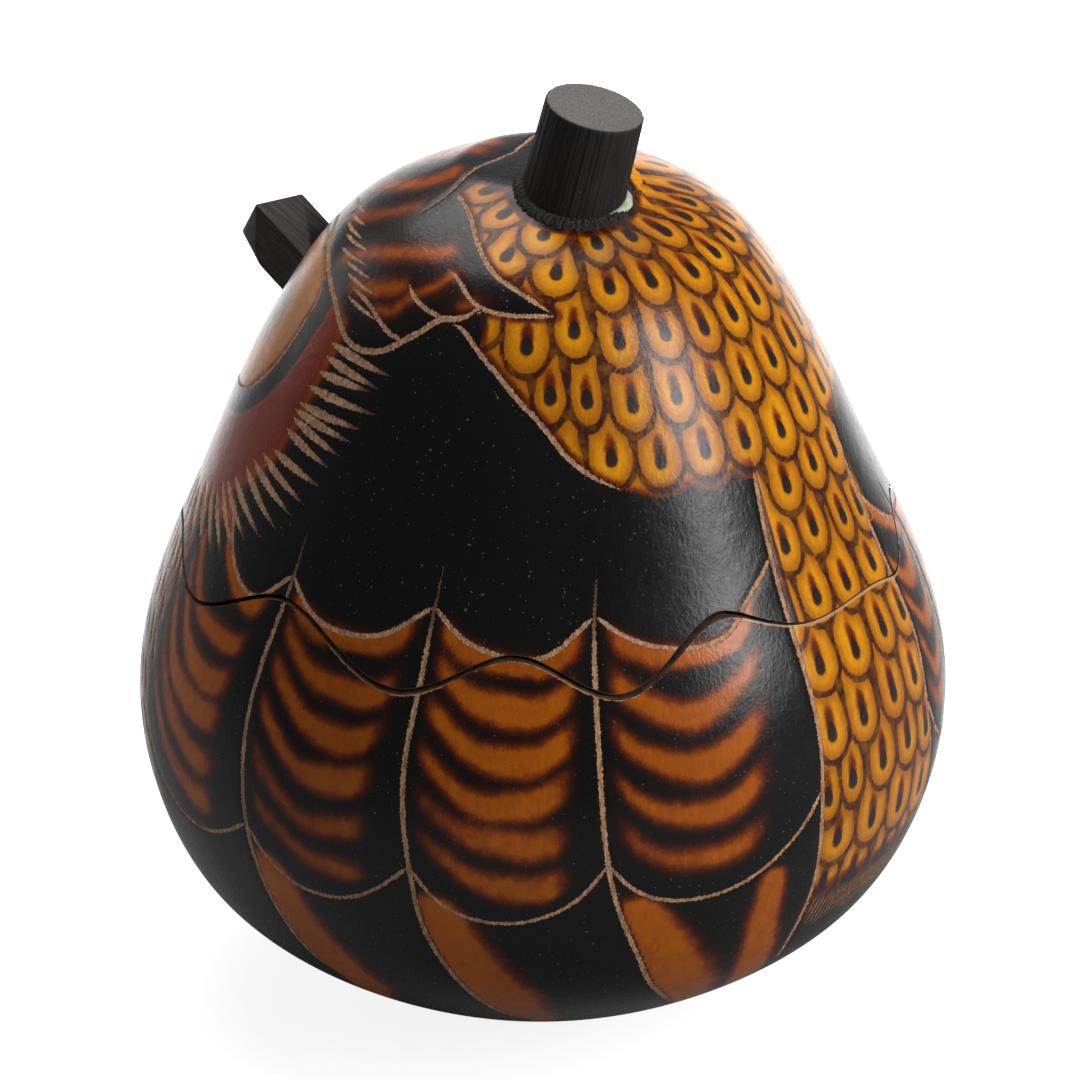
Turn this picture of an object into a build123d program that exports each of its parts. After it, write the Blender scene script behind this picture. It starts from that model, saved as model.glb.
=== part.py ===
"""A carved owl gourd box: a gourd sawn in two along a wavy line, with a stem peg and a beak peg glued in.

The owl faces -Y, +Z is up, and the origin is the centre of the flat foot. Millimetres.
"""

from build123d import *
import os
from math import cos, radians, sin

# Gourd: the outside is a surface of revolution, swollen at the belly and drawn in above it
belly_radius = 50.9
gourd_height = 110.7
foot_radius = 13.5
wall = 4.5
foot_wall = 3.6

# From the edge of the flat foot up to the crown
outline_radius_shares = [0.46, 0.74, 0.866, 0.949, 1.0, 0.961, 0.833, 0.683, 0.582, 0.43, 0.227]
outline_height_shares = [0.031, 0.111, 0.166, 0.236, 0.365, 0.474, 0.617, 0.772, 0.86, 0.941, 0.989]
foot_slope = 11

# Seam: a hand-sawn wave that goes right round, given at its crests, hollows and changes of slope
seam_low = 59.8
seam_wave = 7.5
kerf = 0.6
seam_angles = [
    6, 24, 38, 55.5, 78.5, 101.5, 119.5, 135.5, 153.5, 168.5,
    188, 196, 212, 232, 252, 271, 290, 310, 328, 347,
]
seam_height_shares = [
    0.67, 0.25, 0.45, 0, 0.84, 0.03, 0.69, 0.08, 1, 0.49,
    0.39, 0.21, 0.85, 0.1, 0.81, 0.04, 0.78, 0.09, 0.76, 0.13,
]

# Stem peg: a length of round stick behind the crown, leaning back
stem_top_radius = 6.0
stem_foot_radius = 6.25
stem_out = 10.9
stem_past_wall = 3.1
stem_offset = 9.1
stem_angle = 150
stem_lean = 13.6
stem_lean_angle = 192
stem_edge = 0.3
stem_glue_gap = 0.5

# Beak peg: a whittled square head whose shoulder sits on the gourd, on a round tenon
beak_width = 7.3
beak_depth = 6.9
beak_roll = -8
beak_reach = 11.3
beak_rise = 30
beak_height_share = 0.794
beak_tenon_radius = 3.2
beak_past_wall = 1.9
beak_glue_gap = 0.4

# Corners of the head's cut end, across, up and along it
end_right_share = (1, 1, 0.93)
end_left_share = (-1, 1, 0.83)
tip_right_share = (0.63, -0.785, 1)
tip_left_share = (-0.6, -0.75, 0.937)
side_right_share = (1, -0.72, 0.66)
side_left_share = (-1, -0.7, 0.62)
under_right_share = (1, -1, 0.53)
under_left_share = (-1, -1, 0.5)

# How far cutting tools run past what they cut
overrun = 3.0


def heading(angle):
    """The flat direction at an angle in degrees from the owl's front, counted towards its left."""
    return Vector(sin(radians(angle)), -cos(radians(angle)))


def seam_point(angle, height_share, radius):
    """A point on the lower edge of the saw's path, at one radius."""
    flat = heading(angle) * radius
    return Vector(flat.X, flat.Y, seam_low + height_share * seam_wave - kerf / 2)


def seam_points(radius):
    """The seam's turning points and the points half way between them, which keep its slopes straight."""
    turns = list(zip(seam_angles, seam_height_shares))
    after = turns[1:] + [(turns[0][0] + 360, turns[0][1])]
    points = []
    for (angle, share), (next_angle, next_share) in zip(turns, after):
        points.append(seam_point(angle, share, radius))
        points.append(seam_point((angle + next_angle) / 2, (share + next_share) / 2, radius))
    return points


# Gourd, solid to its outer skin, and the hollow inside it
outline = [(r * belly_radius, h * gourd_height) for r, h in zip(outline_radius_shares, outline_height_shares)]
foot_tangent = (cos(radians(foot_slope)), sin(radians(foot_slope)))

with BuildPart() as solid_gourd:
    with BuildSketch(Plane.XZ):
        with BuildLine():
            skin = Spline(
                (foot_radius, 0),
                *outline,
                (0, gourd_height),
                tangents=[foot_tangent, (-1, 0)],
            )
            Polyline(skin @ 1, (0, 0), skin @ 0)
        make_face()
    revolve(axis=Axis.Z)

inside_shares = [0.12, 0.24, 0.36, 0.48, 0.6, 0.72, 0.84, 0.92]
inside = []
for share in inside_shares:
    along = skin % share
    inward = Vector(-along.Y, along.X)
    inside.append(skin @ share + inward * wall)

with BuildPart() as hollow:
    with BuildSketch(Plane.XZ):
        with BuildLine():
            lining = Spline(
                (0, foot_wall),
                *inside,
                (0, gourd_height - wall),
                tangents=[(1, 0), (-1, 0)],
            )
            Line(lining @ 1, lining @ 0)
        make_face()
    revolve(axis=Axis.Z)

with BuildPart() as shell:
    add(solid_gourd.part)
    add(hollow.part, mode=Mode.SUBTRACT)

# The saw cut, as wide as the saw's teeth, runs through the wall on a wavy ruled sheet
with BuildLine() as saw_inside:
    Spline(*seam_points((belly_radius - wall) / 2), periodic=True)

with BuildLine() as saw_outside:
    Spline(*seam_points(belly_radius + overrun), periodic=True)

saw_sheet = Face.make_surface_from_curves(saw_inside.edge(), saw_outside.edge())

with BuildPart() as halves:
    add(shell.part)
    extrude(saw_sheet, amount=kerf, dir=(0, 0, 1), mode=Mode.SUBTRACT)

# Where the stem stands on the skin, and the way it leans
stem_in = wall + stem_past_wall
stem_spot = heading(stem_angle) * stem_offset
stem_line = Edge.make_line(stem_spot, stem_spot + Vector(0, 0, gourd_height + overrun))
stem_foot = solid_gourd.part.intersect(stem_line).vertices().sort_by(Axis.Z)[-1].center()
stem_axis = heading(stem_lean_angle) * sin(radians(stem_lean)) + Vector(0, 0, cos(radians(stem_lean)))
stem_plane = Plane(origin=stem_foot, z_dir=stem_axis)
stem_section = Plane(
    origin=stem_foot,
    x_dir=stem_plane.x_dir,
    z_dir=stem_plane.x_dir.cross(stem_plane.z_dir),
)

# The stem's outline from its middle out, in the plane of its axis, with both cut ends eased
with BuildPart() as stem_peg:
    with BuildSketch(stem_section):
        with BuildLine():
            Polyline(
                (0, -stem_in),
                (stem_foot_radius - stem_edge, -stem_in),
                (stem_foot_radius, stem_edge - stem_in),
                (stem_foot_radius, 0),
                (stem_top_radius, stem_out - stem_edge),
                (stem_top_radius - stem_edge, stem_out),
                (0, stem_out),
                close=True,
            )
        make_face()
    revolve(axis=Axis(stem_foot, stem_plane.z_dir))

# Where the beak stands on the skin. Its plane has x across the owl and y up the beak's back
beak_in = wall + beak_past_wall
beak_level = Vector(0, 0, beak_height_share * gourd_height)
beak_line = Edge.make_line(beak_level, beak_level + heading(0) * (belly_radius + overrun))
beak_foot = solid_gourd.part.intersect(beak_line).vertices().sort_by(Axis.Y)[0].center()
beak_axis = heading(0) * cos(radians(beak_rise)) + Vector(0, 0, sin(radians(beak_rise)))
beak_plane = Plane(origin=beak_foot, x_dir=(1, 0, 0), z_dir=beak_axis).rotated((0, 0, beak_roll))


def beak_point(share):
    """A corner of the beak's cut end, from its shares of half the width, half the depth and the reach."""
    across, up, along = share
    return beak_plane.from_local_coords((across * beak_width / 2, up * beak_depth / 2, along * beak_reach))


def beak_cut(first, second, third):
    """The plane through three corners of the beak's end, facing away from its foot."""
    corner, along, across = [beak_point(share) for share in (first, second, third)]
    normal = (along - corner).cross(across - corner)
    if normal.dot(corner - beak_foot) < 0:
        normal = -normal
    return Plane(origin=corner, x_dir=along - corner, z_dir=normal)


with BuildPart() as beak_head:
    with BuildSketch(beak_plane.offset(-overrun)):
        Rectangle(beak_width, beak_depth)
    extrude(amount=beak_reach + 2 * overrun)
    for cut in (
        beak_cut(end_right_share, end_left_share, tip_right_share),
        beak_cut(end_right_share, side_right_share, tip_right_share),
        beak_cut(tip_right_share, side_right_share, under_right_share),
        beak_cut(end_left_share, side_left_share, tip_left_share),
        beak_cut(tip_left_share, side_left_share, under_left_share),
    ):
        split(bisect_by=cut, keep=Keep.BOTTOM)
    add(solid_gourd.part, mode=Mode.SUBTRACT)

with BuildPart() as beak_peg:
    add(beak_head.part)
    with BuildSketch(beak_plane.offset(-beak_in)):
        Circle(beak_tenon_radius)
    extrude(amount=beak_in + beak_reach / 2)

# The holes drilled for the pegs, a little wider than the pegs
with BuildPart() as stem_hole:
    with BuildSketch(stem_plane.offset(-stem_in - overrun)):
        Circle(stem_foot_radius + stem_glue_gap)
    extrude(amount=stem_in + 2 * overrun)

with BuildPart() as beak_hole:
    with BuildSketch(beak_plane.offset(-beak_in - overrun)):
        Circle(beak_tenon_radius + beak_glue_gap)
    extrude(amount=beak_in + 2 * overrun)

# The bowl is what the saw left below it, and the lid what it left above
with BuildPart() as gourd_bowl:
    add(halves.solids().sort_by(Axis.Z)[0])

with BuildPart() as gourd_lid:
    add(halves.solids().sort_by(Axis.Z)[-1])
    add(stem_hole.part, mode=Mode.SUBTRACT)
    add(beak_hole.part, mode=Mode.SUBTRACT)

# Glue fills what each peg leaves of its hole
with BuildPart() as stem_glue:
    add(stem_hole.part)
    add(shell.part, mode=Mode.INTERSECT)
    add(stem_peg.part, mode=Mode.SUBTRACT)

with BuildPart() as beak_glue:
    add(beak_hole.part)
    add(shell.part, mode=Mode.INTERSECT)
    add(beak_peg.part, mode=Mode.SUBTRACT)

os.makedirs("parts", exist_ok=True)
gourd_bowl.part.label = "gourd_bowl"
export_step(gourd_bowl.part, "parts/gourd_bowl.step")
gourd_lid.part.label = "gourd_lid"
export_step(gourd_lid.part, "parts/gourd_lid.step")
stem_peg.part.label = "stem_peg"
export_step(stem_peg.part, "parts/stem_peg.step")
stem_glue.part.label = "stem_glue"
export_step(stem_glue.part, "parts/stem_glue.step")
beak_peg.part.label = "beak_peg"
export_step(beak_peg.part, "parts/beak_peg.step")
beak_glue.part.label = "beak_glue"
export_step(beak_glue.part, "parts/beak_glue.step")
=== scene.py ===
"""An owl gourd box, carved, burnt and waxed: a gourd sawn in two along a wavy line, with two black pegs.

The owl faces -Y. A place on its skin is (round, up) in degrees: round is counted from the face towards
the owl's left, and up is the angle of elevation seen from the middle of the belly.
"""

import bmesh
import bpy
import numpy as np
from math import cos, radians, sin
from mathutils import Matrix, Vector


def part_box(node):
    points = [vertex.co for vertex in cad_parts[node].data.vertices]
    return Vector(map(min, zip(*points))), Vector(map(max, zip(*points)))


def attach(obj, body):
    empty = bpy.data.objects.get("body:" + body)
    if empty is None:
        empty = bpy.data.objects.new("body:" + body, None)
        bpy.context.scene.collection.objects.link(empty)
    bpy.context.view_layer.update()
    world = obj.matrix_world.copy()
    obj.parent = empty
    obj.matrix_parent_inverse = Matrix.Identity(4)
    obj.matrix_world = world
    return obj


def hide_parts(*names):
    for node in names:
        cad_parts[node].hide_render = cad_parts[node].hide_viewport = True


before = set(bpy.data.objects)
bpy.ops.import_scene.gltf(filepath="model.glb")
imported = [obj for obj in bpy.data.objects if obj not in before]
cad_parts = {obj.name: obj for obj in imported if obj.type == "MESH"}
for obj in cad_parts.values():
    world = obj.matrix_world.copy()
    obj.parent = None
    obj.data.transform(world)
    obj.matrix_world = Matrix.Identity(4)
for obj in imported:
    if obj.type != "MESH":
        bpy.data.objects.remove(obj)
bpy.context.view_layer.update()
scene = bpy.context.scene

MM = 0.001

# Bowl: the lower half of a hollow gourd, open along a wavy edge cut with a fine saw. Its skin is burnt
# black and orange in rows of feathers, with lines gouged through it to the pale shell below, and then
# waxed. The inside is bare, dry gourd. The cut edge is bare gourd too, but painted dark brown as painted
# shade in the narrow gap of the saw cut.
outline_radius_shares = [0.46, 0.74, 0.866, 0.949, 1.0, 0.961, 0.833, 0.683, 0.582, 0.43, 0.227]
outline_height_shares = [0.031, 0.111, 0.166, 0.236, 0.365, 0.474, 0.617, 0.772, 0.86, 0.941, 0.989]
foot_slope = 11
foot_pull = 1.051
crown_pull = 2.6
foot_radius = 13.5
foot_wall = 3.6
wall = 4.5
belly_height = 43.8
belly_radius = max(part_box("gourd_bowl")[1][:2]) / MM
gourd_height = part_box("gourd_lid")[1][2] / MM

# The saw cut: its turns, as angles and shares of the wave's height, and how wide it gapes at some angles
seam_low = 59.8
seam_wave = 7.5
seam_turns = [
    (6, 0.67), (24, 0.25), (38, 0.45), (55.5, 0), (78.5, 0.84), (101.5, 0.03), (119.5, 0.69),
    (135.5, 0.08), (153.5, 1), (168.5, 0.49), (188, 0.39), (196, 0.21), (212, 0.85), (232, 0.1),
    (252, 0.81), (271, 0.04), (290, 0.78), (310, 0.09), (328, 0.76), (347, 0.13),
]
seam_gaps = [
    (0, 0.6), (135, 0.6), (146, 0.95), (153, 0.9), (158, 0.55), (165, 0.32), (172, 0.15), (192, 0.15),
    (200, 0.45), (360, 0.6),
]

around = np.arange(600) * 0.6
edge_shares = (0.04, 0.35, 0.65, 0.96)

# In mm: the scales' outlines, a gouge's depth, how far off the skin and the sawn edge a point still counts
# as on it, and how far outside every mark a point is said to be that is off the skin
outline_width = 0.36
gouge_depth = 0.08
skin_slack = 0.1
edge_slack = 0.02
far_off = 3.0


def spline(points, count, start=None, end=None):
    """A smooth curve through points, sampled count times, which may leave and end along given slopes.

    The slopes keep the bend even from span to span, and the parameter grows with the straight distance
    between the points.
    """
    points = np.array(points, float)
    steps = np.linalg.norm(np.diff(points, axis=0), axis=1)[:, None]
    places = np.append(0, np.cumsum(steps))
    rates = np.diff(points, axis=0) / steps
    size = len(points)
    sums, sides = np.eye(size), np.zeros(points.shape)
    for row, near, slope, rate in ((0, 1, start, rates[0]), (size - 1, size - 2, end, rates[-1])):
        if slope is None:
            sums[row, row], sums[row, near], slope = 2, 1, 3 * rate
        sides[row] = slope
    for i in range(1, size - 1):
        before, after = steps[i - 1 : i + 1, 0]
        sums[i, i - 1 : i + 2] = after, 2 * (before + after), before
        sides[i] = 3 * (after * rates[i - 1] + before * rates[i])
    slopes = np.linalg.solve(sums, sides)
    at = np.linspace(0, places[-1], count)
    i = np.clip(np.searchsorted(places, at, side="right") - 1, 0, size - 2)
    t = (at - places[i])[:, None] / steps[i]
    s = 1 - t
    straight = points[i] * s**2 * (1 + 2 * t) + points[i + 1] * t**2 * (1 + 2 * s)
    return straight + steps[i] * t * s * (s * slopes[i] - t * slopes[i + 1])


def lengths_along(curve):
    """How far along a curve each of its points lies."""
    return np.concatenate([[0], np.cumsum(np.linalg.norm(np.diff(curve, axis=0), axis=1))])


def heading(angle):
    """The flat direction at an angle in degrees from the owl's front, counted towards its left."""
    return np.array([sin(radians(angle)), -cos(radians(angle)), 0])


# The outer skin from the edge of the foot to the crown, and the lining a wall's thickness inside it, which
# follows the skin at these of its points
shares = zip(outline_radius_shares, outline_height_shares)
outline = [(foot_radius, 0), *((r * belly_radius, h * gourd_height) for r, h in shares), (0, gourd_height)]
foot_way = (foot_pull * cos(radians(foot_slope)), foot_pull * sin(radians(foot_slope)))
outline = spline(outline, 4000, foot_way, (-crown_pull, 0))
skin_radius, skin_height = outline.T
skin_up = np.degrees(np.arctan2(skin_height - belly_height, skin_radius))
crown_radius, crown_height = outline[: np.argmax(skin_radius) : -1].T
facing = np.gradient(outline, axis=0)
facing = np.stack([facing[:, 1], -facing[:, 0]], 1) / np.linalg.norm(facing, axis=1)[:, None]

picks = [*range(480, 3361, 480), 3680]
lining = [(0, foot_wall), *(outline[picks] - facing[picks] * wall), (0, gourd_height - wall)]
lining = spline(lining, 1500, (1, 0), (-1, 0))


def seam_height(angles):
    """The height of the middle of the saw cut at each angle, through its turns and half-way points."""
    marks = np.array(seam_turns + [(seam_turns[0][0] + 360, seam_turns[0][1])], float)
    marks = np.concatenate([marks[:-1], (marks[:-1] + marks[1:]) / 2])
    marks = marks[np.argsort(marks[:, 0])] * (1, seam_wave)
    marks = np.concatenate([marks - (360, 0), marks, marks + (360, 0)])
    return seam_low + np.interp(angles % 360, *spline(marks, 6000).T)


def seam_gap(angles):
    """How wide the saw cut gapes at each angle: worn beside one crest, and tight across the band."""
    return np.interp(angles % 360, *zip(*seam_gaps))


def ring(angles, radius, height):
    """Points at these angles, radii and heights, in millimetres."""
    turn = np.radians(angles)
    return np.stack([radius * np.sin(turn), -radius * np.cos(turn), height + 0 * turn], 1)


def shell_rings(level, sense, skin_shares, lining_shares):
    """Rings along the skin to the sawn edge at this level, across the edge, and back along the lining.

    They start from the foot where sense is 1, and from the crown where it is -1.
    """
    rows, radii = [], []
    for curve, shares in ((outline, skin_shares), (lining, lining_shares)):
        along = lengths_along(curve[::sense])
        reach = np.interp(level, curve[:, 1], along[::sense])
        for share in shares:
            rows.append(ring(around, *(np.interp(reach * share, along, part) for part in curve[::sense].T)))
        radii.append(np.interp(level, *curve.T[::-1]))
    across = [ring(around, radii[0] + (radii[1] - radii[0]) * share, level) for share in edge_shares]
    return rows[: len(skin_shares)] + across + rows[len(skin_shares) :]


def closed_mesh(name, rings, ends=()):
    """A new piece whose closed mesh joins rings of points, given in mm, each to the next.

    A point closes each end. Without these two points the last ring joins the first.
    """
    count = len(rings[0])
    here = np.arange(count)
    beside = np.roll(here, -1)
    starts = [len(ends[:1]) + i * count for i in range(len(rings))]
    points = np.concatenate([np.reshape(ends[:1], (-1, 3)), *rings, np.reshape(ends[1:], (-1, 3))]) * MM
    faces = np.stack([0 * here, 1 + beside, 1 + here], 1).tolist() if ends else []
    for low, high in zip(starts, starts[1:] if ends else starts[1:] + starts[:1]):
        faces += np.stack([low + here, low + beside, high + beside, high + here], 1).tolist()
    if ends:
        faces += np.stack([0 * here + len(points) - 1, starts[-1] + here, starts[-1] + beside], 1).tolist()
    mesh = bpy.data.meshes.new(name)
    mesh.from_pydata(points.tolist(), [], faces)
    return new_piece(name, mesh)


def new_piece(name, data):
    """A new object in the scene, for a mesh, lamp or camera."""
    piece = bpy.data.objects.new(name, data)
    scene.collection.objects.link(piece)
    return piece


bowl_edge = seam_height(around) - seam_gap(around) / 2
rings = [ring(around, foot_radius * share, 0.0) for share in (0.12, 0.25, 0.5, 0.8)]
shares = np.concatenate([np.linspace(0, 0.25, 15)[:-1], np.linspace(0.25, 1, 113)])
rings += shell_rings(bowl_edge, 1, shares, np.linspace(1, 0, 20)[:-1])
carved_bowl = closed_mesh("carved_bowl", rings, [(0, 0, 0), (0, 0, foot_wall)])


def on_skin(marks):
    """Points on the outer skin, in millimetres, at places given as (round, up)."""
    marks = np.array(marks, float)
    return ring(marks[:, 0], *(np.interp(marks[:, 1], skin_up, part) for part in (skin_radius, skin_height)))


def ease(values, low, high):
    """0 below low, 1 above high, and an S-shaped rise between them."""
    t = np.clip((values - low) / (high - low), 0, 1)
    return t * t * (3 - 2 * t)


def nearest(points, path):
    """How far each point is from a path, below zero on its left, and where along it, from 0 to 1."""
    steps = np.diff(path, axis=0)
    outward = points - (0, 0, belly_height)
    gap = np.full(len(points), 1e9)
    where = np.zeros(len(points))
    for i, (start, step) in enumerate(zip(path, steps)):
        t = np.clip((points - start) @ step / (step @ step), 0, 1)
        apart = np.linalg.norm(points - start - t[:, None] * step, axis=1)
        closer = apart < np.abs(gap)
        side = np.sum(np.cross(points - start, step) * outward, axis=1)
        gap[closer] = np.where(side < 0, -apart, apart)[closer]
        where[closer] = (i + t[closer]) / len(steps)
    return gap, where


# Places of the gouged lines and of the burnt feathers on the side, from the breast round to the back
left_shafts = [
    [(79, 39), (78.5, 30), (77.5, 20), (77, 10), (77.5, 2), (78.5, -6), (80.5, -15), (82.5, -21),
     (85.5, -28), (88.5, -32)],
    [(107, 39.5), (105.8, 30), (105, 20), (104.2, 12), (104.3, 3), (105.5, -6), (107, -15),
     (109.5, -22), (113.5, -30), (117.5, -37), (121.5, -43)],
    [(133.5, 39.5), (132.2, 31), (131.7, 20), (131.8, 8), (132.5, -3), (134.5, -12), (137.5, -20),
     (140.5, -27), (144.5, -33), (148.5, -40)],
]
right_shafts = [
    [(207.6, 34), (207.4, 31), (208.6, 26), (208.5, 15), (208.3, 3), (208, -5), (206.5, -14),
     (204.5, -22), (202.5, -30), (201.5, -36)],
    [(368.5 - turn, up) for turn, up in left_shafts[2]],
    [(366.2 - turn, up) for turn, up in left_shafts[1]],
    [(363 - turn, up) for turn, up in left_shafts[0]],
]
band_left = [
    (167.5, 46), (166.5, 40), (166, 34), (166, 20), (166, 5), (165.5, 0), (165, -17), (164.3, -27),
    (165.5, -33),
]
band_right = [
    (197.5, 45), (195.5, 38), (194.8, 30), (194.5, 22), (194.7, 12), (193.5, 2), (194.5, -5),
    (195.5, -12), (196, -20), (196.4, -27), (195.5, -33),
]
breast_left = [(49, 36), (48.5, 30), (47.6, 18), (47, 5), (48.5, -4), (51.5, -12), (56, -22), (61, -32)]
breast_right = [(360 - turn, up) for turn, up in breast_left]
upper_arcs = [
    [(58, 35), (60, 31.5), (62, 29.3), (66, 26.6), (70, 25.5), (72.4, 25.9), (75.5, 28.3), (78.5, 31)],
    [(78.5, 31), (82, 28.2), (86, 26.3), (91.5, 25.8), (96, 26.3), (99, 27.4), (102.5, 29.7), (105.9, 32)],
    [(105.9, 32), (108, 30.2), (111, 28), (115, 26.5), (119, 25.7), (123, 25.7), (126, 26.8), (129, 29),
     (132.2, 31.3)],
    [(132.2, 31.5), (136, 28.8), (140.5, 26.7), (145.5, 25.5), (150.5, 25.2), (155, 26.4), (158.5, 29.3),
     (162.5, 32), (166, 34.5)],
    [(195, 35), (198, 31.5), (202, 28.2), (205.5, 26.2), (208.6, 25.8)],
    [(208.6, 26), (215, 24.8), (222, 24.7), (229, 27), (236.3, 31.3)],
    [(236.3, 31.3), (241, 27.5), (248, 25.5), (255, 27), (260.4, 32)],
    [(260.4, 32), (265, 27.8), (272, 25.7), (279, 27), (284.5, 31)],
    [(284.5, 31), (288.5, 27), (293, 25.5), (298, 28), (302, 33)],
]
lower_arcs = [
    [(48.5, -4), (51.5, -7.5), (57, -10.8), (64, -12), (71, -10.6), (78.5, -6)],
    [(78.5, -6), (82, -10), (86, -12.5), (90.5, -13.2), (96.5, -12), (101.5, -8.7), (105.4, -5)],
    [(105.4, -5), (108.5, -9.2), (113, -12), (118, -12.8), (124, -11.5), (129, -8.2), (132.6, -3.5)],
    [(132.6, -3.5), (136.5, -8), (141, -10.2), (146.5, -10.8), (153, -9.6), (159, -6.2), (163, -2.7),
     (165.4, 0.5)],
    [(193.6, 2), (196, -2.5), (199.5, -6), (203.5, -7), (208, -5)],
    [(208, -5), (212.5, -9.5), (220, -11.8), (229, -9), (235.9, -3.5)],
    [(235.9, -3.5), (241, -10), (249, -12.5), (257, -9.5), (260.8, -5)],
    [(260.8, -5), (265, -10.5), (272.5, -13), (280, -10), (284.5, -6)],
    [(284.5, -6), (290, -10.8), (297, -12), (304, -10), (311.5, -4)],
]

# The feathers: the heights of each one's orange bars, where across it they sag lowest, how sharply they
# rise from there, and where they end
bars = [
    ((16.9, 11.5, 5.7, -0.2, -6.4), 0.62, 40, 0.86), ((17.4, 11.2, 4.9, -2.1, -8.2), 0.56, 31, 0.88),
    ((18.1, 11.4, 5, -0.8, -7.1), 0.53, 30, 0.9), ((16.3, 9, 1.9, -4.9), 0.44, 46, 0.8),
    ((17.5, 11, 4.5, -1), 0.5, 34, 0.9), ((16, 9.2, 2.2, -4.6), 0.46, 44, 0.82),
    ((17.8, 11.5, 5.2, -1, -7.2), 0.53, 31, 0.9), ((17.5, 11.4, 4.8, -1.8, -8), 0.55, 32, 0.88),
    ((17, 11.3, 5.6, 0, -6.2), 0.6, 38, 0.86),
]
starts = [breast_left, *left_shafts, band_right, *right_shafts]
ends = [*left_shafts, band_left, *right_shafts, breast_right]
feathers = list(zip(starts, ends, upper_arcs, lower_arcs, bars))

# Each gouged line: its places, its width in mm, the shares of its length that thin out at the start and at
# the end, and the share that the burner darkened again, from the start, or below zero from the end
long_gouges = [(shaft, 0.64, 0.2, 0.1, 0.17) for shaft in left_shafts + right_shafts]
long_gouges += [(side, 0.62, 0.02, 0.1, 0) for side in (band_left, band_right)]
arc_gouges = [(arc, 0.62, 0.05, 0.05, 0) for arc in upper_arcs]
arc_gouges += [(arc, 0.54, 0.05, 0.05, 0) for arc in lower_arcs]

# Breast: rows of short strokes like down, cut to the pale shell
down_strokes = []
for row in range(9):
    for turn in range(-14, 15):
        side = (turn + 0.5 * (row % 2)) * 3.3
        high = 29 - 6.2 * row + 0.7 * sin(3.1 * turn + row)
        if abs(side) < (45.5 if row else 13):
            lean = 0.06 * side
            stroke = [(side, high), (side + lean, high - 2.6), (side + 1.5 * lean, high - 5.4)]
            down_strokes.append((stroke, 0.75, 0.45, 0.5, 0))

# Scales of the band: the places of their dark eyes, row by row, from the nape to the tail
band_rows = [
    [(174.5, 42.3), (184, 42.8), (193, 42)],
    [(169.7, 35), (177.8, 35.3), (187, 34), (193.6, 33)],
    [(165.6, 25), (173, 26.5), (181, 26), (190, 25.5)],
    [(169.3, 17.5), (177.5, 17), (185.8, 17), (193, 16.5)],
    [(168.5, 7.8), (175.5, 7.8), (183.5, 8), (190.5, 7.5)],
    [(166.5, -1), (171.5, 0), (178.5, 0), (185.5, 0), (192, -1)],
    [(168.5, -8), (176, -8), (183.5, -9), (191, -10)],
    [(167, -14.5), (173.5, -16), (181.5, -16), (189, -16.5)],
]


def turn_at(line, up):
    """How far round a rising or falling line stands at each height."""
    return np.interp(up, *zip(*sorted((high, turn) for turn, high in line)))


def between(left, right, turn, up):
    """Which places lie between two rising or falling lines."""
    return (turn > turn_at(left, up)) & (turn < turn_at(right, up))


def unit(vector):
    """A vector's direction, as a vector of length 1."""
    return vector / np.linalg.norm(vector)


def scale_fields(points, rows, ahead, drop, long):
    """Draws rows of overlapping scales, the lowest first, so that each row hides the tops of the next.

    A scale is a half ellipse that reaches drop below its eye, and runs straight up above it. Its outline
    thickens to a wedge where it comes out from under the row above. An eye reaches long below its middle.
    Near the point ahead, the scales turn to spread from it. Gives how far each point is outside the
    nearest outline, eye and smoke of an eye, in mm.
    """
    edge, eye, smoke = (np.full(len(points), 9.0) for _ in range(3))
    for number in range(len(rows) - 1, -1, -1):
        eyes = on_skin(rows[number])
        below = on_skin([(turn, up - 1) for turn, up in rows[number]])
        gaps = np.linalg.norm(np.diff(eyes, axis=0), axis=1)
        gaps = np.concatenate([gaps[:1], gaps, gaps[-1:]])
        for i, centre in enumerate(eyes):
            down = unit(below[i] - centre)
            outward = unit(np.cross(down, np.cross([0, 0, 1], centre)))
            away = centre - ahead
            away -= (away @ outward) * outward
            share = float(ease(np.linalg.norm(away), 24, 13))
            down = unit(down * (1 - share) + unit(away) * share)
            half = 0.5 * min(gaps[i], gaps[i + 1], 6.8)
            close = np.flatnonzero(np.linalg.norm(points - centre, axis=1) < 3.4 * half)
            flat = points[close] - centre
            x, y = flat @ np.cross(down, outward), flat @ down
            shape = np.where(y > 0, np.hypot(x / half, y / drop), np.abs(x) / half) - 1
            shape = np.where(y < -1.9 * drop, 9.0, shape * half)
            inner = shape < 0
            spaced = 2 * drop
            if number:
                above = centre - on_skin(rows[number - 1])
                spaced = above[np.argmin(np.linalg.norm(above, axis=1))] @ down
            thick = 0.34 * np.clip(1 - (y + spaced - drop) / 1.7, 0, 1)
            edge[close] = np.where(inner, -shape - thick, np.minimum(edge[close], shape - thick))
            eye_shape = (np.hypot(x / (0.78 + 0.22 * y), y / long) - 1) * 0.75
            eye[close] = np.where(inner, eye_shape, eye[close])
            smoke_shape = (np.hypot(x / 0.7, (y + 0.8 * long) / (1.5 * long)) - 1) * 0.65
            smoke[close] = np.where(inner, smoke_shape, smoke[close])
    return edge, eye, smoke


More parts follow.
